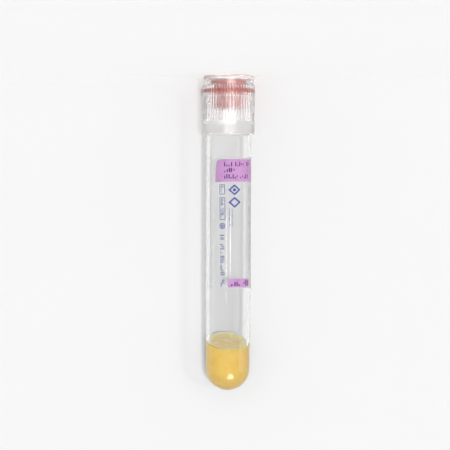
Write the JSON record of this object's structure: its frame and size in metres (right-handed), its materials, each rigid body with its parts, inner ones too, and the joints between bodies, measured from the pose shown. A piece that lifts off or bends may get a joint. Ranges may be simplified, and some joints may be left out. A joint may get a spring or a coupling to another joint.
{
  "type": "blood collection tube",
  "caption": "Evacuated blood collection tube standing on its shield: clear round-bottomed tube, yellow separator gel, printed film label, red rubber stopper and ribbed clear shield.",
  "frame": {"origin": "on the surface that the shield's flat top stands on, on the tube's axis", "axes": "+Z along the tube's axis from the shield towards the round bottom, -Y towards the middle of the print, +X to the right when the print is seen with the shield at the bottom"},
  "size_m": [0.0182, 0.0182, 0.1094],
  "materials": {
    "clear_wall": "clear polished PET",
    "gel": "cloudy yellow gel",
    "film": "clear film with lilac and blue print",
    "stopper_rubber": "matt brick-red rubber",
    "shield_plastic": "frosted translucent polypropylene"
  },
  "bodies": {
    "closure": {"stopper": "stopper_rubber", "shield": "shield_plastic"},
    "tube_body": {"tube": "clear_wall", "separator_gel": "gel", "label": "film"}
  },
  "joints": [
    {"name": "closure_pull", "type": "slide", "parent": "closure", "child": "tube_body", "axis": [0, 0, 1], "range_m": [0, 0.04]}
  ]
}
